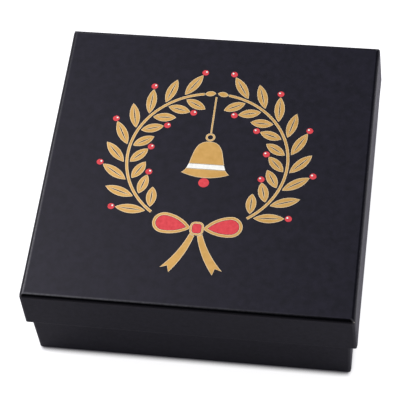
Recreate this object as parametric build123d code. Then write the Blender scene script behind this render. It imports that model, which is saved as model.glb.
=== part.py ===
"""A two-piece rigid paper box: a square tray and a lift-off lid whose skirt covers its upper half.

Each half is five greyboard panels glued edge to edge. Gummed paper stays hold its four corners, one
printed wrap sheet covers it and turns in over the open edge, and a loose-cut sheet lines its panel.
A wreath with a bow and a bell is foiled and printed on the lid.

Sizes are in millimetres. The origin is on the table, under the middle of the box. X runs along the
front edge, Y from the front edge to the back one, and Z up, the way the lid comes off.
"""
from build123d import *
from math import asin, cos, degrees, radians, sin
import os

# The box, measured outside its paper
lid_width = 200.0
lid_depth = 200.0
skirt_height = 32.5
base_height = 68.0

# Sheet stock
board_thickness = 1.5
wrap_thickness = 0.25
liner_thickness = 0.25
bottom_sheet_thickness = 0.25
stay_thickness = 0.12

# Room between the skirt's inside and the tray's outside, on each side
lid_gap = 0.4

# Roundings outside the paper: the upright corners and the tray's lower edge are crisp, the lid's top
# edge is softer
corner_radius = 1.2
base_edge_radius = 0.9
lid_edge_radius = 2.1

# How far the sheets reach
stay_reach = 18.0
turn_under = 15.0
liner_margin = 0.5
bottom_sheet_margin = 2.0
bottom_sheet_step = 0.5

# The ornament on the lid: its ink and foil, and the bare gap between neighbouring shapes
print_thickness = 0.05
print_gap = 0.25
ornament_middle_y = 5.5

# The wreath
wreath_radius = 50.0
stem_width = 1.8
stem_open_top = 9.0
end_leaf_width = 3.8
outer_leaf_length = 19.0
outer_leaf_lean = 36.0
inner_leaf_length = 14.5
inner_leaf_lean = 50.0
leaf_width = 6.4
leaf_foot_gap = 1.0
leaf_side_gap = 0.8
leaf_end_turn = 14.0
vein_width = 0.7
vein_margin = 2.4
berry_radius = 2.1
berry_shine_radius = 0.6
berry_shine_shift = 0.7

# The bow: points on the right-hand loop, from where it starts in the knot, then its knot and tails
bow_rise = (6.5, 6.4)
bow_top = (15.5, 9.8)
bow_low = (17.5, -4.6)
bow_border = 1.9
bow_tuck = 0.5
knot_width = 8.5
knot_height = 9.5
knot_rounding = 3.2
knot_border = 1.3
tail_length = 29.0
tail_start_width = 3.4
tail_width = 6.4
tail_lean = 28.0
tail_bend = 1.5
tail_notch = 3.4

# The bell: the points that pull its side in and out, and what hangs on it
bell_height = 27.0
bell_mouth = 30.0
bell_shoulder = 25.5
bell_waist = 15.3
bell_flare = 7.6
bell_lip = 3.2
bell_band = 3.4
bell_band_height = 5.0
clapper_radius = 3.3
bell_ring_radius = 3.0
bell_ring_width = 1.3
cord_width = 1.1

# Sizes that follow from those above
wall_build = wrap_thickness + board_thickness + wrap_thickness
base_width = lid_width - 2 * wall_build - 2 * lid_gap
base_depth = lid_depth - 2 * wall_build - 2 * lid_gap
lid_top = base_height + liner_thickness + board_thickness + wrap_thickness
skirt_edge = lid_top - skirt_height


def block(width, depth, one_z, other_z):
    """A plain block round the box's middle line, between two heights."""
    low, high = sorted((one_z, other_z))
    return Pos(0, 0, (low + high) / 2) * Box(width, depth, high - low)


def eased_block(width, depth, closed_z, open_z, corner, edge):
    """A block with rounded upright corners and a rounded edge all round its closed end."""
    shape = block(width, depth, closed_z, open_z)
    end = shape.faces().sort_by(Axis.Z)[-1 if closed_z > open_z else 0]
    return fillet(shape.edges().filter_by(Axis.Z), corner) & fillet(end.edges(), edge)


class Half:
    """One half of the box: a closed panel and four walls, open at the end away from the panel."""

    def __init__(self, name, width, depth, closed_z, open_z, edge_radius):
        self.name = name
        self.width = width
        self.depth = depth
        self.closed_z = closed_z
        self.open_z = open_z
        self.edge_radius = edge_radius
        # The way from the closed panel to the open end: up in the tray, down in the lid
        self.inward = 1 if open_z > closed_z else -1
        self.board_width = width - 2 * wrap_thickness
        self.board_depth = depth - 2 * wrap_thickness
        self.panel_out = closed_z + self.inward * wrap_thickness
        self.panel_in = self.panel_out + self.inward * board_thickness
        self.wall_end = open_z - self.inward * wrap_thickness
        self.room_width = width - 2 * wall_build
        self.room_depth = depth - 2 * wall_build
        self.liner_in = self.panel_in + self.inward * liner_thickness

    def board_shape(self, grown=0.0):
        """The outer shape of the bare boards, or of boards that much thicker all round the sides."""
        return eased_block(
            self.board_width + 2 * grown,
            self.board_depth + 2 * grown,
            self.panel_out,
            self.wall_end,
            corner_radius - wrap_thickness + grown,
            self.edge_radius - wrap_thickness,
        )

    def boards(self):
        """The closed panel, the long front and back walls, and the side walls between them."""
        shape = self.board_shape()
        panel = shape & block(self.width, self.depth, self.panel_out, self.panel_in)
        walls = shape & block(self.width, self.depth, self.panel_in, self.wall_end)
        half_depth = self.board_depth / 2 - board_thickness / 2
        long_wall = block(self.board_width, board_thickness, self.panel_in, self.wall_end)
        half_width = self.board_width / 2 - board_thickness / 2
        side_depth = self.board_depth - 2 * board_thickness
        side_wall = block(board_thickness, side_depth, self.panel_in, self.wall_end)
        return {
            "panel": panel,
            "wall_front": walls & (Pos(0, -half_depth, 0) * long_wall),
            "wall_back": walls & (Pos(0, half_depth, 0) * long_wall),
            "wall_left": walls & (Pos(-half_width, 0, 0) * side_wall),
            "wall_right": walls & (Pos(half_width, 0, 0) * side_wall),
        }

    def stays(self):
        """The four angles of gummed paper that are glued round the upright corners of the boards."""
        band = block(2 * self.width, 2 * self.depth, self.panel_in, self.wall_end)
        skin = (self.board_shape(stay_thickness) - self.board_shape()) & band
        pieces = {}
        for depth_name, depth_side in (("front", -1), ("back", 1)):
            for width_name, width_side in (("left", -1), ("right", 1)):
                x = width_side * self.board_width / 2
                y = depth_side * self.board_depth / 2
                around = block(2 * stay_reach, 2 * stay_reach, self.panel_in, self.wall_end)
                pieces[f"corner_stay_{depth_name}_{width_name}"] = skin & (Pos(x, y, 0) * around)
        return pieces

    def wrap(self):
        """The wrap sheet, round the boards, over the open edge and down the inside to the panel."""
        sheet = eased_block(
            self.width,
            self.depth,
            self.closed_z,
            self.open_z,
            corner_radius,
            self.edge_radius,
        )
        past_open = self.open_z + self.inward * board_thickness
        wall_room = block(
            self.board_width - 2 * board_thickness,
            self.board_depth - 2 * board_thickness,
            self.panel_in,
            past_open,
        )
        sheet -= self.board_shape() - wall_room
        sheet -= block(self.room_width, self.room_depth, self.panel_in, past_open)
        for stay in self.stays().values():
            sheet -= stay
        return sheet

    def liner(self):
        """The sheet that lines the inside of the closed panel."""
        return block(
            self.room_width - 2 * liner_margin,
            self.room_depth - 2 * liner_margin,
            self.panel_in,
            self.liner_in,
        )

    def parts(self):
        made = {f"{self.name}_board_{key}": shape for key, shape in self.boards().items()}
        made |= {f"{self.name}_{key}": shape for key, shape in self.stays().items()}
        made[f"{self.name}_wrap"] = self.wrap()
        made[f"{self.name}_liner"] = self.liner()
        return made


def open_wrap_underneath(wrap, base):
    """Under the tray the wrap is only a border: it turns under the panel and stops."""
    inside_width = base.width - 2 * turn_under
    inside_depth = base.depth - 2 * turn_under
    return wrap - block(inside_width, inside_depth, base.closed_z, base.panel_out)


def bottom_sheet(base):
    """The sheet under the tray, which covers the wrap's border and is pressed up inside it."""
    border = block(
        base.width - 2 * bottom_sheet_margin,
        base.depth - 2 * bottom_sheet_margin,
        0,
        bottom_sheet_thickness,
    )
    inside_width = base.width - 2 * turn_under
    inside_depth = base.depth - 2 * turn_under
    dent = block(
        inside_width - 2 * bottom_sheet_step,
        inside_depth - 2 * bottom_sheet_step,
        0,
        bottom_sheet_thickness,
    )
    middle = block(inside_width, inside_depth, bottom_sheet_thickness, base.panel_out)
    return border - dent + middle


def pointed_oval(length, width):
    """A pointed oval between two arcs, from the origin along X."""
    upper = ThreePointArc((0, 0), (length / 2, width / 2), (length, 0))
    lower = ThreePointArc((length, 0), (length / 2, -width / 2), (0, 0))
    return make_face([upper, lower])


def ring_band(radius, width, start, end):
    """A band along an arc round the origin, between two angles in degrees."""
    outer = radius + width / 2
    inner = radius - width / 2
    outer_arc = CenterArc((0, 0), outer, start, end - start)
    inner_arc = CenterArc((0, 0), inner, start, end - start)
    return make_face([
        outer_arc,
        Line(outer_arc @ 1, inner_arc @ 1),
        inner_arc,
        Line(inner_arc @ 0, outer_arc @ 0),
    ])


def leaf(length):
    """One leaf along X, with a slit left bare for its vein."""
    slit = Pos(vein_margin, 0, 0) * pointed_oval(length - 2 * vein_margin, vein_width)
    return pointed_oval(length, leaf_width) - slit


def on_ring(radius, turn):
    """A place at that radius on the wreath's right side, that many degrees up from its lowest point."""
    return Rot(0, 0, turn) * Pos(0, -radius, 0)


def stem_start():
    """How many degrees up from the wreath's lowest point the stem comes out beside the bow."""
    bow_reach = bow_loop(0).bounding_box().max.X
    return degrees(asin((bow_reach + stem_width) / wreath_radius))


def leaf_feet():
    """Where each leaf grows on the right-hand stem, turned along its length, and that length."""
    first = stem_start() + degrees(leaf_width / 2 / wreath_radius)
    last = 180 - stem_open_top - leaf_end_turn
    pitch = degrees((leaf_width + leaf_side_gap) / sin(radians(outer_leaf_lean)) / wreath_radius)
    pairs = int((last - first) / pitch) + 1
    foot_gap = stem_width / 2 + leaf_foot_gap
    feet = []
    for number in range(pairs):
        turn = first + (last - first) * number / (pairs - 1)
        outer = on_ring(wreath_radius + foot_gap, turn) * Rot(0, 0, -outer_leaf_lean)
        inner = on_ring(wreath_radius - foot_gap, turn) * Rot(0, 0, inner_leaf_lean)
        feet += [(outer, outer_leaf_length), (inner, inner_leaf_length)]
    return feet


def both_sides(shapes):
    """The shapes and their mirror images across the wreath's upright middle line."""
    return list(shapes) + [mirror(shape, Plane.YZ) for shape in shapes]


def wreath_foil():
    """The two stems, which grow from the bow to the top, and the leaves on either side of them."""
    shapes = [ring_band(wreath_radius, stem_width, stem_start() - 90, 90 - stem_open_top)]
    shapes += [foot * leaf(length) for foot, length in leaf_feet()]
    tip = on_ring(wreath_radius, 180 - stem_open_top)
    end_leaf = pointed_oval(tip.position.X - 3 * print_gap, end_leaf_width)
    shapes.append(tip * Pos(print_gap, 0, 0) * end_leaf)
    return both_sides(shapes)


def berry_places():
    """A berry past the tip of every other leaf on the right-hand stem, by turns outside and inside."""
    past_tip = print_gap + berry_radius
    places = []
    for number, (foot, length) in enumerate(leaf_feet()):
        if number % 4 in (0, 3):
            middle = (foot * Pos(length + past_tip, 0, 0)).position
            places.append(Pos(middle.X, middle.Y, 0))
    return places


def berry_shine():
    """The spot of light on a berry, up and to the left of its middle."""
    return Pos(-berry_shine_shift, berry_shine_shift, 0)


def berries():
    """Red berries, each with a hole where its white spot is printed."""
    berry = Circle(berry_radius) - berry_shine() * Circle(berry_shine_radius + print_gap / 2)
    return [place * berry for place in berry_places()]


def bow_loop(inset):
    """The right-hand loop of the bow, a drop on its side, and as much smaller all round as the inset."""
    upper = ThreePointArc((0, 0), bow_rise, bow_top)
    far = TangentArc(bow_top, bow_low, tangent=upper % 1)
    lower = TangentArc(bow_low, (0, 0), tangent=far % 1)
    loop = make_face([upper, far, lower])
    if inset:
        loop = offset(loop, amount=-inset, kind=Kind.INTERSECTION)
    return Pos(knot_width / 2 - bow_tuck, 0, 0) * loop


def bow_tail():
    """A ribbon end with a notch, which hangs from the knot to the right."""
    start = tail_start_width / 2
    end = tail_width / 2
    middle_x = (start + end) / 2
    notch = (0, tail_notch - tail_length)
    tail = make_face([
        Line((-start, 0), (start, 0)),
        ThreePointArc((start, 0), (middle_x - tail_bend, -tail_length / 2), (end, -tail_length)),
        Line((end, -tail_length), notch),
        Line(notch, (-end, -tail_length)),
        ThreePointArc((-end, -tail_length), (-middle_x - tail_bend, -tail_length / 2), (-start, 0)),
    ])
    return Rot(0, 0, tail_lean) * Pos(0, -knot_height / 2 - print_gap, 0) * tail


def knot(grown):
    """The bow's knot, larger or smaller by that much on each side."""
    return RectangleRounded(knot_width + 2 * grown, knot_height + 2 * grown, knot_rounding + grown)


def at_bow(shapes):
    return [Pos(0, -wreath_radius, 0) * shape for shape in shapes]


def bow_foil():
    """The gold of the bow: the outlines of its loops and knot, and its tails."""
    loop = bow_loop(0) - bow_loop(bow_border)
    clear_knot = knot(print_gap)
    around = [shape - clear_knot for shape in both_sides([loop, bow_tail()])]
    return at_bow(around + [knot(0) - knot(-knot_border)])


def bow_red():
    """The red inside the loops and the knot."""
    filling = bow_loop(bow_border + print_gap) - knot(print_gap)
    return at_bow(both_sides([filling]) + [knot(-knot_border - print_gap)])


def bell_body():
    """The bell's outline, from its crown down to its mouth."""
    top = bell_height / 2
    low = -bell_height / 2
    rim = (bell_mouth / 2, low + bell_lip)
    side = Bezier((0, top), (bell_shoulder / 2, top), (bell_waist / 2, low + bell_flare), rim)
    mouth = ThreePointArc(rim, (0, low), (-rim[0], rim[1]))
    return make_face([side, mouth, mirror(side, Plane.YZ)])


def bell_strip(height):
    """A strip right across the bell where its white band is."""
    return Pos(0, -bell_height / 2 + bell_lip + bell_band_height, 0) * Rectangle(2 * bell_mouth, height)


def bell_ring_y():
    return bell_height / 2 + print_gap + bell_ring_radius


def bell_foil():
    """The gold of the bell: its body above and below the band, its ring and its cord."""
    ring = Circle(bell_ring_radius) - Circle(bell_ring_radius - bell_ring_width)
    cord_start = bell_ring_y() + bell_ring_radius + print_gap
    cord_end = wreath_radius - end_leaf_width / 2 - 2 * print_gap
    cord = Rectangle(cord_width, cord_end - cord_start)
    return [
        bell_body() - bell_strip(bell_band + 2 * print_gap),
        Pos(0, bell_ring_y(), 0) * ring,
        Pos(0, (cord_start + cord_end) / 2, 0) * cord,
    ]


def clapper():
    return Pos(0, -bell_height / 2 - print_gap - clapper_radius, 0) * Circle(clapper_radius)


def printed(shapes):
    """Flat shapes as a layer on the lid, each face one solid."""
    solids = []
    for shape in shapes:
        for face in shape.faces():
            flat = Pos(0, ornament_middle_y, lid_top) * face
            solids += extrude(flat, amount=print_thickness, dir=(0, 0, 1)).solids()
    return Compound(solids)


def ornament():
    white_spots = [place * berry_shine() * Circle(berry_shine_radius) for place in berry_places()]
    return {
        "gold_foil": printed(wreath_foil() + bow_foil() + bell_foil()),
        "red_print": printed(both_sides(berries()) + bow_red() + [clapper()]),
        "white_print": printed(both_sides(white_spots) + [bell_body() & bell_strip(bell_band)]),
    }


def build():
    base = Half("base", base_width, base_depth, bottom_sheet_thickness, base_height, base_edge_radius)
    lid = Half("lid", lid_width, lid_depth, lid_top, skirt_edge, lid_edge_radius)
    parts = base.parts() | lid.parts() | ornament()
    parts["base_wrap"] = open_wrap_underneath(parts["base_wrap"], base)
    parts["base_bottom_sheet"] = bottom_sheet(base)
    return parts


os.makedirs("parts", exist_ok=True)
for node, shape in build().items():
    export_step(Compound(shape.solids()), f"parts/{node}.step")
    print(node, len(shape.solids()), "solids", round(shape.volume, 1), "mm3")
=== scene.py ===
# %% [markdown]
# A rigid gift box in wrapped greyboard. The construction comes packed, as one object for each real
# piece, in metres. This lesson dresses it: it makes the covering paper as a folded sheet, lets the lid's
# skirt lean a little, gives every piece its finish, and sets the box on a white sweep in soft light.

from collections import namedtuple
from math import cos, pi, radians, sin

import bmesh
import bpy
from mathutils import Matrix, Vector


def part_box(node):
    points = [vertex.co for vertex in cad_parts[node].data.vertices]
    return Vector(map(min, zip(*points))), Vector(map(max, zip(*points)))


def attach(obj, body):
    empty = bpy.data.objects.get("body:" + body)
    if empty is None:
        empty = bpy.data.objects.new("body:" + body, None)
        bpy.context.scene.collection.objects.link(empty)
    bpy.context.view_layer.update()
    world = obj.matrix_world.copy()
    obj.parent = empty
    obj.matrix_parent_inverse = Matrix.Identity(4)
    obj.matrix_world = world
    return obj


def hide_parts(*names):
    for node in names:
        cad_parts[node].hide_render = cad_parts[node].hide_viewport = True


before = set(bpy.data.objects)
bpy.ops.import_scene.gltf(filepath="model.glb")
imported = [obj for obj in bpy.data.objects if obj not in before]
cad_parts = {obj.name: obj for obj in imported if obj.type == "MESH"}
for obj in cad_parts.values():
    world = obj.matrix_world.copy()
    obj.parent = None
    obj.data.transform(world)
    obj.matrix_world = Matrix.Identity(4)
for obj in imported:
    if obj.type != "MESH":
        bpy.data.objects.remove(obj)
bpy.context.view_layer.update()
mm = 0.001

# %% [markdown]
# Nothing here is drawn to sizes of its own. The paper has to lie on the boards, so every size that the
# two share is read from the frame: where the lid and the tray end, how thick the board is, and how
# thick the sheet is that covers it. Only what the frame can't hold is set in this script, where it is
# first needed. Here that is how the paper rounds an edge: on the lid it takes the fold more softly than
# the board below.

# %% Sizes read from the frame
lid_low, lid_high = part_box("lid_wrap")
tray_low, tray_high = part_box("base_wrap")
lid_panel_low, lid_panel_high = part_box("lid_board_panel")
tray_panel_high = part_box("base_board_panel")[1]
sheet = lid_high.z - lid_panel_high.z
board = lid_panel_high.z - lid_panel_low.z
wall = board + 2 * sheet
corner_radius = 1.2 * mm
lid_edge_radius = 2.5 * mm
tray_edge_radius = 0.9 * mm
print("sheet", round(sheet / mm, 3), "mm, board", round(board / mm, 3), "mm")

# %% [markdown]
# The covering paper is one printed sheet. It lies flat on the closed panel, goes round the panel's
# edge, along the wall, over the wall's raw edge and back down the inside. Every upright cut through a
# wall looks the same, so the sheet is a cut, swept round the box. A row of that sweep says how far in
# from the outside it lies, how high, and how much of three small effects it takes: the step of an
# overlap, the wear of a fold together with a painted highlight along it, and how hard the fold was
# burnished, which also paints it dark as painted shade.

# %% One row of the sweep
# A row's wear is partly a painted highlight, and its burnish also paints the fold dark as painted shade.
Row = namedtuple("Row", "inset z overlap wear burnish", defaults=(0.0, 0.0, 0.0))


def arc(centre, radius, start, end, steps, **effects):
    """Rows along a quarter round or less: angles in degrees, 0 facing out and 90 facing the closed end."""
    inset, z, way = centre
    rows = []
    for step in range(steps + 1):
        angle = radians(start + (end - start) * step / steps)
        rows.append(Row(inset - radius * cos(angle), z + way * radius * sin(angle), **effects))
    return rows


print(len(arc((0, 0, 1), lid_edge_radius, 90, 0, 4)), "rows in a quarter round of four steps")

# %% [markdown]
# Each row is laid round a rounded rectangle. Its points stand close together at the corners, where the
# paper is folded in and one flap ends over the other, and further apart along the sides. All rows have
# the same number of points, so two neighbouring rows join into four-sided faces.

# %% Points once round the box
corner_steps = 8
overlap_at = 0.9 * mm
overlap_edge = 0.12 * mm
near_corner = [overlap_at, overlap_at + overlap_edge, 4 * mm, 9 * mm, 16 * mm]
middle_steps = 8


def side_stops(length):
    """Distances along one straight side where the sweep has points."""
    shrink = min(1.0, length / (4 * near_corner[-1]))
    near = [stop * shrink for stop in near_corner]
    span = length - 2 * near[-1]
    middle = [near[-1] + span * step / middle_steps for step in range(1, middle_steps)]
    return near + middle + [length - stop for stop in reversed(near)]


def around(half_width, half_depth, radius):
    """Points round the rectangle: place, the way out, the side's name and the distance from a corner."""
    points = []
    corners = [(1, -1, -90, "right"), (1, 1, 0, "back"), (-1, 1, 90, "left"), (-1, -1, 180, "front")]
    for sign_x, sign_y, start, side in corners:
        centre = Vector((sign_x * (half_width - radius), sign_y * (half_depth - radius)))
        for step in range(corner_steps + 1):
            angle = radians(start + 90 * step / corner_steps)
            out = Vector((cos(angle), sin(angle)))
            points.append((centre + out * radius, out, None, 0.0))
        along = Vector((-out.y, out.x))
        length = 2 * ((half_depth if side in ("left", "right") else half_width) - radius)
        foot = points[-1][0]
        for stop in side_stops(length):
            points.append((foot + along * stop, out, side, min(stop, length - stop)))
    return points


print(len(around(lid_high.x, lid_high.y, corner_radius)), "points in each row")

# %% [markdown]
# At each upright corner the side flap covers the ear of the front one and stops short of the corner.
# That leaves a step nearly as high as the sheet, which fades as the glue presses it flat.

# %% How far a point stands off
overlap_step = 0.16 * mm
overlap_fade = 15 * mm


def stand_off(row, side, from_corner):
    """How far out of its row a point lies, where the sheet lies on its own ear."""
    if side not in ("left", "right") or from_corner < overlap_at + overlap_edge / 2:
        return 0.0
    return row.overlap * overlap_step * max(0.0, 1 - (from_corner - overlap_at) / overlap_fade)


print("overlap:", round(overlap_step / mm, 2), "mm high, fading over", round(overlap_fade / mm), "mm")

# %% [markdown]
# Blender keeps a mesh, a lamp or a camera apart from the object that stands in the scene and shows it.
# Meshes are built up with bmesh here, point by point, and handed over when they are done.

# %% From a mesh to a piece
def placed(name, data):
    """A new object in the scene that shows this mesh, lamp or camera."""
    thing = bpy.data.objects.new(name, data)
    bpy.context.scene.collection.objects.link(thing)
    return thing


def as_object(name, mesh):
    """A bmesh, handed over to a new object of that name."""
    data = bpy.data.meshes.new(name)
    mesh.to_mesh(data)
    mesh.free()
    print(name, len(data.polygons), "faces")
    return placed(name, data)


# %% [markdown]
# The swept sheet is one closed mesh. The lid's sheet ends in a flat cap above and below. The tray's sheet
# is only a border underneath, so its last row joins its first. How worn each point is, together with a
# painted highlight along the folds, goes into an attribute, which the material reads later. This wear
# and painted highlight are strongest at the near left corner and fade to the right and to the back.
# A second attribute holds the burnish, which also paints the folds dark as painted shade. The front
# fold was burnished hardest, so it carries the most painted shade.

# %% Sweep a sheet round the box
inner_radius = 0.15 * mm
corner_wear = 0.55
back_wear_and_highlight = 0.4
# How much burnish, and with it painted shade, the folds away from the front take.
burnish_and_shade_elsewhere = 0.7


def paper_shell(name, half_width, half_depth, rows, capped):
    """A closed mesh of the rows laid round the box, capped or joined end to end."""
    mesh = bmesh.new()
    wear = mesh.verts.layers.float.new("wear")
    burnish = mesh.verts.layers.float.new("burnish")
    loops = []
    for row in rows:
        radius = max(corner_radius - row.inset, inner_radius)
        loop = []
        for place, out, side, from_corner in around(
            half_width - row.inset, half_depth - row.inset, radius
        ):
            spot = place + out * stand_off(row, side, from_corner)
            vert = mesh.verts.new((spot.x, spot.y, row.z))
            on_corner = corner_wear if side is None and row.overlap > 0 else 0.0
            # The wear is partly a painted highlight, fading from the near left corner to the right and the
            # back.
            leftward = 0.5 - spot.x / (2 * half_width)
            forward = 0.5 - spot.y / (2 * half_depth)
            wear_and_highlight_fade = leftward * (back_wear_and_highlight + (1 - back_wear_and_highlight) * forward)
            vert[wear] = max(row.wear * wear_and_highlight_fade, on_corner)
            vert[burnish] = row.burnish * max(burnish_and_shade_elsewhere, -out.y)
            loop.append(vert)
        loops.append(loop)
    pairs = list(zip(loops, loops[1:]))
    if capped:
        mesh.faces.new(loops[0])
        mesh.faces.new(loops[-1])
    else:
        pairs.append((loops[-1], loops[0]))
    for one, other in pairs:
        for point in range(len(one)):
            mesh.faces.new((one[point - 1], one[point], other[point], other[point - 1]))
    bmesh.ops.recalc_face_normals(mesh, faces=mesh.faces)
    piece = as_object(name, mesh)
    piece.data.shade_smooth()
    normals = piece.modifiers.new("flat faces stay flat", "WEIGHTED_NORMAL")
    normals.keep_sharp = True
    return piece


# %% [markdown]
# The cut through the sheet is written once for both halves. It starts at the closed panel, whose edge it
# rounds, follows the wall, folds over the raw edge and comes back inside. Then it returns along the
# board, a sheet's thickness further in, so that the paper is a real thin solid.

# %% The cut through the covering paper
rim_outer_fold = 0.5 * mm
rim_inner_fold = 0.4 * mm
# The band above the rim's fold, over which its wear and painted highlight fade in.
rim_wear_and_highlight_band = 0.6 * mm
lap_inside = 4 * mm
fold_line = 0.45 * mm
rim_steps = 5
edge_steps = 12
hidden_steps = 4
wall_steps = 10
wear_and_highlight_steps = 3
# How much wear each fold takes; the pale line it makes is partly a painted highlight.
fold_line_wear_and_highlight = 0.15
edge_wear_and_highlight = 0.8
rim_wear_and_highlight = 0.6
# The burnish lowers the roughness and also paints the rounding near black, as painted shade.
burnish_and_shade_rise = 10
burnish_and_shade_fall = 8


def covering(closed_z, open_z, edge_radius, panel_in, panel_start):
    """Rows of a half's sheet, from the middle of the closed panel round to its back."""
    way = 1 if closed_z > open_z else -1
    centre_z = closed_z - way * edge_radius
    rows = [
        Row(panel_start, closed_z),
        Row(edge_radius + 2 * fold_line, closed_z),
        Row(edge_radius + fold_line, closed_z, wear=fold_line_wear_and_highlight),
    ]
    for number, row in enumerate(arc((edge_radius, centre_z, way), edge_radius, 90, 0, edge_steps)):
        share = number / edge_steps
        rows.append(row._replace(
            wear=edge_wear_and_highlight if number < wear_and_highlight_steps else 0.0,
            overlap=share,
            burnish=min(1.0, burnish_and_shade_rise * share, burnish_and_shade_fall * (1 - share)),
        ))
    wall_end = open_z + way * (rim_outer_fold + rim_wear_and_highlight_band)
    for step in range(1, wall_steps + 1):
        share = step / wall_steps
        rows.append(Row(0, centre_z + (wall_end - centre_z) * share, overlap=1.0))
    outer = (rim_outer_fold, open_z + way * rim_outer_fold, -way)
    fold = arc(outer, rim_outer_fold, 0, 90, rim_steps, wear=rim_wear_and_highlight)
    rows += [row._replace(overlap=1 - number / rim_steps) for number, row in enumerate(fold)]
    inner = (wall - rim_inner_fold, open_z + way * rim_inner_fold, -way)
    rows += arc(inner, rim_inner_fold, 90, 180, hidden_steps, wear=rim_wear_and_highlight / 2)
    rows += [Row(wall, open_z + way * lap_inside, overlap=-1.0), Row(wall, panel_in, overlap=-1.0)]
    back = wall - sheet
    rows += [Row(back, panel_in), Row(back, open_z + way * sheet), Row(sheet, open_z + way * sheet)]
    rows += arc((edge_radius, centre_z, way), edge_radius - sheet, 0, 90, hidden_steps)
    rows.append(Row(panel_start, closed_z - way * sheet))
    return rows


print("rounded:", round(lid_edge_radius / mm, 2), "mm on the lid,", round(tray_edge_radius / mm, 2), "below")

# %% [markdown]
# The lid's sheet covers its whole top. The tray's sheet only turns under for a border, which the bottom
# sheet then covers.

# %% The lid's paper and the tray's paper
turn_under = 15 * mm
cap_inset = 20 * mm
lid_paper = paper_shell(
    "lid_paper", lid_high.x, lid_high.y,
    covering(lid_high.z, lid_low.z, lid_edge_radius, lid_panel_low.z, cap_inset), True,
)
tray_paper = paper_shell(
    "tray_paper", tray_high.x, tray_high.y,
    covering(tray_low.z, tray_high.z, tray_edge_radius, tray_panel_high.z, turn_under), False,
)
for piece, node, body in ((lid_paper, "lid_wrap", "lid"), (tray_paper, "base_wrap", "tray")):
    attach(piece, body)
    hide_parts(node)

# %% [markdown]
# A skirt's boards are held only by glue, paper and gummed stays. They don't stay quite upright: on this
# lid they lean out towards the free edge, most on the right, and bow a little between the corners. One
# function moves the points of a mesh that way. It is used on the paper, and on copies of the boards and
# stays under it, so that nothing comes through the sheet.

# %% The lean of the skirt
lean_right = 1.4 * mm
lean_left = 0.6 * mm
lean_ends = 0.3 * mm
lean_bow = 0.15 * mm


def lean(piece):
    """Move a piece's points out, more the further down the skirt they are."""
    for vert in piece.data.vertices:
        drop = max(0.0, (lid_panel_low.z - vert.co.z) / (lid_panel_low.z - lid_low.z))
        across = vert.co.x / lid_high.x
        along = vert.co.y / lid_high.y
        sideways = lean_right if across > 0 else lean_left
        vert.co.x += drop * across * (sideways + lean_bow * (1 - along**2))
        vert.co.y += drop * along * (lean_ends + lean_bow * (1 - across**2))


def leaning_copy(node):
    """A copy of one of the skirt's nodes that leans with it and stands for it."""
    piece = placed(f"{node}_leaning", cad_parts[node].data.copy())
    lean(piece)
    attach(piece, "lid")
    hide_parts(node)
    return piece


lean(lid_paper)
boards = []
stays = []
for node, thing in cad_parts.items():
    if node.startswith("lid_board_wall"):
        boards.append(leaning_copy(node))
    elif node.startswith("lid_corner_stay"):
        stays.append(leaning_copy(node))
    elif "_board_" in node:
        boards.append(thing)
    elif "_corner_stay_" in node:
        stays.append(thing)
print("boards:", len(boards), "stays:", len(stays))

# %% [markdown]
# Hot foil is pressed on with a heated die. Along its edge it shows a thin pale highlight, which is
# painted into its colour here. The foil's outline is already right in the frame, so its mesh is copied.
# Corners that nearly meet are merged first, because an inset of two points too close together crosses
# itself. Then the top faces are inset together by a narrow border that carries the painted highlight.

# %% The foil, with its pale border
foil_border = 0.45 * mm
same_spot = 0.001 * mm
short_side = 0.1 * mm
facing_up = 0.9


def top_faces(mesh):
    """The faces that look up."""
    return [face for face in mesh.faces if face.normal.z > facing_up]


def bordered_copy(name, node, border):
    """A copy of a flat node whose top has a border, marked in an attribute for a painted highlight."""
    mesh = bmesh.new()
    mesh.from_mesh(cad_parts[node].data)
    bmesh.ops.remove_doubles(mesh, verts=mesh.verts, dist=same_spot)
    upper = {vert for face in top_faces(mesh) for vert in face.verts}
    bmesh.ops.remove_doubles(mesh, verts=list(upper), dist=short_side)
    mesh.normal_update()
    painted_rim_highlight = mesh.verts.layers.float.new("painted_rim_highlight")
    for vert in mesh.verts:
        vert[painted_rim_highlight] = 1.0
    top = top_faces(mesh)
    bmesh.ops.inset_region(mesh, faces=top, thickness=border, use_boundary=True)
    for vert in {vert for face in top for vert in face.verts}:
        vert[painted_rim_highlight] = 0.0
    return as_object(name, mesh)


foil = bordered_copy("foil_ornament", "gold_foil", foil_border)
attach(foil, "lid")
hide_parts("gold_foil")

# %% [markdown]
# Every finish here is a Principled shader with a little noise in its colour, roughness and relief. The
# helpers keep the recipes short. They add a node with its inputs, make noise at a real size, turn it into
# a value or a colour between two others, read what the mesh keeps for its points, and make a height
# into relief.

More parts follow.
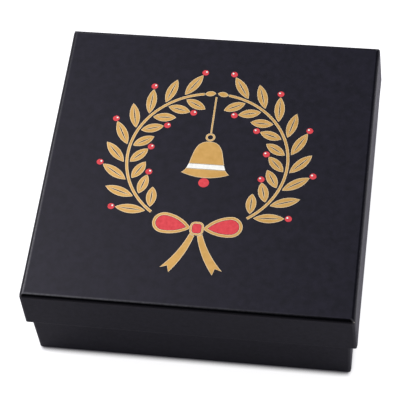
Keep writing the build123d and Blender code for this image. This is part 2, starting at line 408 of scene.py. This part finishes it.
# %% Helpers for finishes
class Finish:
    """A material in the making."""

    def __init__(self, name, **settings):
        self.material = bpy.data.materials.new(name)
        self.material.use_nodes = True
        self.nodes = self.material.node_tree.nodes
        self.links = self.material.node_tree.links
        self.shader = self.nodes["Principled BSDF"]
        for socket, value in settings.items():
            self.shader.inputs[socket.replace("_", " ")].default_value = value
        self.place = self.nodes.new("ShaderNodeTexCoord").outputs["Object"]

    def add(self, kind, **inputs):
        node = self.nodes.new(kind)
        for socket, value in inputs.items():
            self.feed(node.inputs[socket.replace("_", " ")], value)
        return node

    def feed(self, socket, value):
        if isinstance(value, bpy.types.NodeSocket):
            self.links.new(value, socket)
        else:
            socket.default_value = value

    def noise(self, size, detail=3.0, stretch=(1, 1, 1)):
        """Noise whose spots are about that many metres across."""
        spread = self.add("ShaderNodeMapping", Vector=self.place)
        spread.inputs["Scale"].default_value = stretch
        return self.add(
            "ShaderNodeTexNoise", Vector=spread.outputs[0], Scale=1 / size, Detail=detail
        ).outputs["Fac"]

    def between(self, value, low, high, start=0.3, end=0.7):
        """The value, spread from low to high as it goes from start to end."""
        node = self.add("ShaderNodeMapRange", Value=value)
        for socket, number in (("From Min", start), ("From Max", end), ("To Min", low), ("To Max", high)):
            self.feed(node.inputs[socket], number)
        return node.outputs[0]

    def tint(self, share, dark, light):
        """A colour between two, by share."""
        node = self.nodes.new("ShaderNodeMix")
        node.data_type = "RGBA"
        self.feed(node.inputs[0], share)
        self.feed(node.inputs[6], dark)
        self.feed(node.inputs[7], light)
        return node.outputs[2]

    def reckon(self, operation, *values):
        """What a Math node makes of one or two values."""
        node = self.nodes.new("ShaderNodeMath")
        node.operation = operation
        for socket, value in zip(node.inputs, values):
            self.feed(socket, value)
        return node.outputs[0]

    def times(self, one, other):
        return self.reckon("MULTIPLY", one, other)

    def attribute(self, name):
        """What the mesh keeps for each point under that name."""
        node = self.nodes.new("ShaderNodeAttribute")
        node.attribute_name = name
        return node.outputs["Fac"]

    def relief(self, height, depth, below=None):
        """A bump of that real depth in metres."""
        node = self.add("ShaderNodeBump", Height=height, Distance=depth)
        if below is not None:
            self.links.new(below, node.inputs["Normal"])
        return node.outputs[0]

    def set(self, **inputs):
        for socket, value in inputs.items():
            self.feed(self.shader.inputs[socket.replace("_", " ")], value)

    def on(self, *pieces):
        """Every face of these pieces takes this finish."""
        for piece in pieces:
            piece.data.materials.clear()
            piece.data.materials.append(self.material)
        print(self.material.name, "on", len(pieces), "with", len(self.nodes), "nodes")


def shade(red, green, blue):
    """A colour from the 0 to 255 values of a paint chip, as the renderer's linear colour."""
    def linear(value):
        value /= 255
        return value / 12.92 if value <= 0.04045 else ((value + 0.055) / 1.055) ** 2.4
    return (linear(red), linear(green), linear(blue), 1.0)


print("a middle grey chip is", round(shade(128, 128, 128)[0], 3), "to the renderer")

# %% [markdown]
# The covering paper is printed near black, with a touch of blue, under a matt film with a faint violet
# cast. The film gives it a broad dull sheen, so most of its brightness is reflected light, and its folds
# go black where they face the dark part of the room; the burnished folds are also painted near black, as
# painted shade. Its grain is fine and cloudy. Along the folds it shows a pale grey that is partly wear
# and partly a painted highlight.

# %% The covering paper
film_tint = (0.93, 0.885, 1.0, 1.0)
paper = Finish(
    "matt_film_paper",
    Specular_IOR_Level=0.24, Specular_Tint=film_tint,
    Sheen_Weight=0.4, Sheen_Roughness=0.15, Sheen_Tint=film_tint,
)
cloud = paper.between(paper.noise(4 * mm, 4.0), 0.0, 1.0)
ink = paper.tint(cloud, shade(25, 25, 33), shade(32, 31, 42))
# Painted highlight: the pale grey along the folds is partly wear and partly painted light.
wear_and_highlight_share = paper.times(paper.attribute("wear"), paper.between(paper.noise(1.6 * mm), 0.35, 0.75))
burnished_and_shaded = paper.attribute("burnish")
# Painted shade: the burnished folds are painted near black.
painted_fold_shade = paper.tint(burnished_and_shaded, ink, shade(5, 5, 8))
film = paper.between(paper.noise(2.5 * mm), 0.42, 0.5)
paper.set(
    Base_Color=paper.tint(wear_and_highlight_share, painted_fold_shade, shade(96, 96, 100)),
    Roughness=paper.times(film, paper.between(burnished_and_shaded, 1.0, 0.5, 0.0, 1.0)),
)
fibre = paper.relief(paper.noise(0.22 * mm, 2.0), 0.012 * mm)
paper.set(Normal=paper.relief(paper.noise(1.3 * mm), 0.02 * mm, fibre))
paper.on(lid_paper, tray_paper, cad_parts["base_bottom_sheet"])

# %% [markdown]
# The linings are the same black through and through, with no film, so they are duller. They only show
# when the lid is off.

# %% The linings
lining = Finish("lining_paper", Roughness=0.8, Specular_IOR_Level=0.3)
lining.set(
    Base_Color=lining.tint(lining.between(lining.noise(3 * mm), 0, 1), shade(30, 30, 34), shade(38, 38, 42)),
    Normal=lining.relief(lining.noise(0.35 * mm, 4.0), 0.03 * mm),
)
lining.on(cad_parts["lid_liner"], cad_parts["base_liner"])

# %% [markdown]
# Greyboard is pressed from recycled paper: grey-brown, matt, with dark and pale flecks. The paper
# hides it here, but it is finished for whoever takes the box apart.

# %% Greyboard and the corner stays
greyboard = Finish("pressed_greyboard", Roughness=0.9, Specular_IOR_Level=0.25)
pulp = greyboard.tint(
    greyboard.between(greyboard.noise(6 * mm, 5.0), 0, 1), shade(150, 144, 132), shade(172, 166, 154)
)
fleck = greyboard.between(greyboard.noise(0.8 * mm, 1.0, (1, 3, 1)), 0, 1, 0.68, 0.74)
greyboard.set(
    Base_Color=greyboard.tint(fleck, pulp, shade(92, 84, 74)),
    Normal=greyboard.relief(greyboard.noise(0.5 * mm, 4.0), 0.05 * mm),
)
kraft = Finish("gummed_kraft", Roughness=0.75, Specular_IOR_Level=0.3)
kraft.set(
    Base_Color=kraft.tint(
        kraft.between(kraft.noise(1.2 * mm, 4.0, (1, 1, 4)), 0, 1), shade(176, 138, 96), shade(198, 162, 118)
    ),
    Normal=kraft.relief(kraft.noise(0.3 * mm, 3.0, (1, 1, 5)), 0.02 * mm),
)
greyboard.on(*boards)
kraft.on(*stays)

# %% [markdown]
# Foil on rough paper isn't a mirror: it copies the grain below and looks like dull gold. About two
# thirds of its light is plain colour and one third is metal reflection, which keeps it gold from every
# side. Along its edges it is paler, which is a painted highlight; that colour reads the attribute that
# the inset left on the border.

# %% Gold foil
gold = Finish("hot_foil_gold", Metallic=0.35, Roughness=0.45, Specular_IOR_Level=0.3)
painted_edge_highlight = gold.between(gold.attribute("painted_rim_highlight"), 0, 1, 0.1, 0.7)
leafing = gold.tint(gold.between(gold.noise(4 * mm, 4.0), 0, 1), shade(208, 161, 88), shade(220, 174, 104))
gold.set(
    # Painted highlight: the border takes the pale colour.
    Base_Color=gold.tint(painted_edge_highlight, leafing, shade(246, 222, 182)),
    Roughness=gold.between(gold.noise(1.5 * mm), 0.36, 0.5),
    Normal=gold.relief(gold.noise(0.3 * mm, 3.0), 0.012 * mm),
)
gold.on(foil)

# %% [markdown]
# The red and white are screen inks: flat, thick and a little glossy, with a faint mottle.

# %% Red and white ink
red = Finish("screen_red", Roughness=0.5, Specular_IOR_Level=0.2)
red.set(
    Base_Color=red.tint(red.between(red.noise(2 * mm), 0, 1), shade(200, 56, 66), shade(216, 72, 80)),
    Normal=red.relief(red.noise(0.3 * mm), 0.01 * mm),
)
red.on(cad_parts["red_print"])
white = Finish("screen_white", Roughness=0.5, Specular_IOR_Level=0.2)
chalk = white.between(white.noise(2 * mm), 0, 1)
white.set(
    Base_Color=white.tint(chalk, shade(226, 226, 222), shade(240, 240, 236)),
    Normal=white.relief(white.noise(0.3 * mm), 0.01 * mm),
)
white.on(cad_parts["white_print"])

# %% [markdown]
# A white sweep runs from the floor up into a low wall all round, so that no view has a horizon. It is one
# profile, turned round the upright axis and closed under the box.

# %% The white sweep
sweep_rings = (0.4, 1.2)
sweep_radius = 4.0
sweep_bend = 1.0
sweep_height = 1.6
sweep_sides = 96
bend_steps = 8


def sweep_profile():
    """Distance from the middle and height, along the sweep."""
    flat_end = sweep_radius - sweep_bend
    rows = [(radius, 0.0) for radius in (*sweep_rings, flat_end)]
    for step in range(1, bend_steps + 1):
        angle = radians(90 * step / bend_steps)
        rows.append((flat_end + sweep_bend * sin(angle), sweep_bend * (1 - cos(angle))))
    rows.append((sweep_radius, sweep_height))
    return rows


mesh = bmesh.new()
rings = []
for radius, height in sweep_profile():
    turns = [2 * pi * side / sweep_sides for side in range(sweep_sides)]
    rings.append([mesh.verts.new((radius * cos(turn), radius * sin(turn), height)) for turn in turns])
mesh.faces.new(rings[0])
for one, other in zip(rings, rings[1:]):
    for side in range(sweep_sides):
        mesh.faces.new((one[side - 1], one[side], other[side], other[side - 1]))
bmesh.ops.recalc_face_normals(mesh, faces=mesh.faces)
sweep = as_object("sweep", mesh)
sweep.data.shade_smooth()

# %% [markdown]
# The sweep's paint is grey, to take the box's soft shadow, with a faint violet cast that the upright sides
# of the box mirror. For the camera it also glows, more with distance, so that it stays white where the
# lamps don't reach. Right under the box an ambient occlusion node takes that glow away, which paints a
# thin contact shadow in front and behind; beside the box that painted shadow fades out with the distance
# sideways. In reflections the glow is much dimmer, because the real sheet mirrors a darker room. Only the
# strips of floor beside the box keep more of it there, and so lift its two sides. A Light Path node tells
# these rays apart.

# %% The sweep's paint
sweep_paint = (0.345, 0.335, 0.375, 1.0)
glow_near = 0.9
glow_starts = 0.3
glow_full = 1.8
mirrored_glow = 0.09
mirrored_beside = 0.4
strip_fade = 0.3 * tray_high.x
front_fade = 0.4 * tray_high.y
# The reach and depth of the painted contact shadow, and where it fades out beside the box.
contact_reach = 4 * mm
contact_full = 0.5
painted_shadow_fade_glow = 0.8
painted_shadow_fade_start = tray_high.x - 2 * mm
painted_shadow_fade_width = 3 * mm

paint = Finish("white_sweep", Roughness=1.0, Specular_IOR_Level=0.0)
distance = paint.add("ShaderNodeVectorMath", Vector=paint.place)
distance.operation = "LENGTH"
glow = paint.between(distance.outputs["Value"], glow_near, 1.0, glow_starts, glow_full)

from_middle = paint.add("ShaderNodeSeparateXYZ", Vector=paint.place)
sideways = paint.reckon("ABSOLUTE", from_middle.outputs["X"])
past_sides = paint.between(sideways, 0.0, 1.0, tray_high.x, tray_high.x + strip_fade)
past_front = paint.between(from_middle.outputs["Y"], 0.0, 1.0, -tray_high.y, front_fade - tray_high.y)
beside = paint.times(past_sides, past_front)
mirrored = paint.between(beside, mirrored_glow, mirrored_beside, 0.0, 1.0)

rays = paint.nodes.new("ShaderNodeLightPath")
reflected = paint.reckon("MAXIMUM", rays.outputs["Is Glossy Ray"], rays.outputs["Is Transmission Ray"])
seen = paint.reckon("MAXIMUM", rays.outputs["Is Camera Ray"], paint.times(reflected, mirrored))

# Painted contact shadow: ambient occlusion takes the glow away under the box, less so beside it.
contact_occlusion = paint.add("ShaderNodeAmbientOcclusion", Distance=contact_reach)
painted_shadow_fade = paint.between(sideways, 0.0, painted_shadow_fade_glow, painted_shadow_fade_start, painted_shadow_fade_start + painted_shadow_fade_width)
clear_of_painted_shadow = paint.between(contact_occlusion.outputs["AO"], painted_shadow_fade, 1.0, contact_full, 1.0)
paint.set(
    Base_Color=sweep_paint,
    Emission_Color=(1, 1, 1, 1),
    Emission_Strength=paint.times(paint.times(glow, clear_of_painted_shadow), seen),
)
paint.on(sweep)

# %% [markdown]
# The box is lit evenly from the whole room. The floor stays white right up to it by its own glow and
# keeps only the thin contact shadow painted into that glow. A dark glossy sheet, though, shows what it
# mirrors, not what falls on it. So the room light is kept out of reflections, and one softbox, up on
# the left, is all that the lid can mirror. It lifts the near left of the top and draws a thin bright
# line along the left edge, which the paper's painted highlight makes stronger. It leaves the rounding
# at the front and the right nearly black, and the paper's painted shade darkens it further. A low fill
# on the right brightens that side of the skirt, and is kept out of reflections too.

# %% Light
room_light = 0.5
softbox_place = Vector((-0.78, 0.26, 1.05))
softbox_size = 0.75
softbox_power = 14.0

fill_place = Vector((1.5, 0.75, 0.25))
fill_size = 0.8
fill_power = 34.0


def soft_lamp(name, place, size, power):
    """A square lamp that faces the box."""
    lamp_data = bpy.data.lights.new(name, "AREA")
    lamp_data.shape = "SQUARE"
    lamp_data.size = size
    lamp_data.energy = power
    lamp = placed(name, lamp_data)
    lamp.location = place
    lamp.rotation_euler = (-place).to_track_quat("-Z", "Y").to_euler()
    print(name, round(place.length, 2), "m from the box")
    return lamp


soft_lamp("softbox", softbox_place, softbox_size, softbox_power)
fill = soft_lamp("side_fill", fill_place, fill_size, fill_power)
fill.visible_glossy = False

world = bpy.data.worlds.new("bright_room")
bpy.context.scene.world = world
world.use_nodes = True
world.node_tree.nodes["Background"].inputs["Color"].default_value = (1, 1, 1, 1)
world.node_tree.nodes["Background"].inputs["Strength"].default_value = room_light
world.cycles_visibility.glossy = False

# %% [markdown]
# The camera stands high in front, a little to the right of the middle and far off with a long lens, and
# is rolled by a few degrees. A long lens keeps the box's edges almost parallel. The point that it aims at
# is in the middle of the picture.

# %% Camera
camera_turn = radians(13.8)
camera_height = radians(57.52)
camera_roll = radians(-7.59)
camera_distance = 1.0894
camera_aim = Vector((-6.8 * mm, 1.1 * mm, 29.2 * mm))
camera_lens = 153.6
sensor_width = 36.0
nearest_seen = 0.05

camera_data = bpy.data.cameras.new("camera")
camera_data.lens = camera_lens
camera_data.sensor_width = sensor_width
camera_data.clip_start = nearest_seen
camera = placed("camera", camera_data)
back = Vector((
    sin(camera_turn) * cos(camera_height),
    -cos(camera_turn) * cos(camera_height),
    sin(camera_height),
))
camera.location = camera_aim + back * camera_distance
turned = (-back).to_track_quat("-Z", "Y").to_matrix() @ Matrix.Rotation(camera_roll, 3, "Z")
camera.rotation_euler = turned.to_euler()
bpy.context.scene.camera = camera
bpy.context.scene.view_settings.view_transform = "Standard"
print("camera at", [round(v, 3) for v in camera.location])
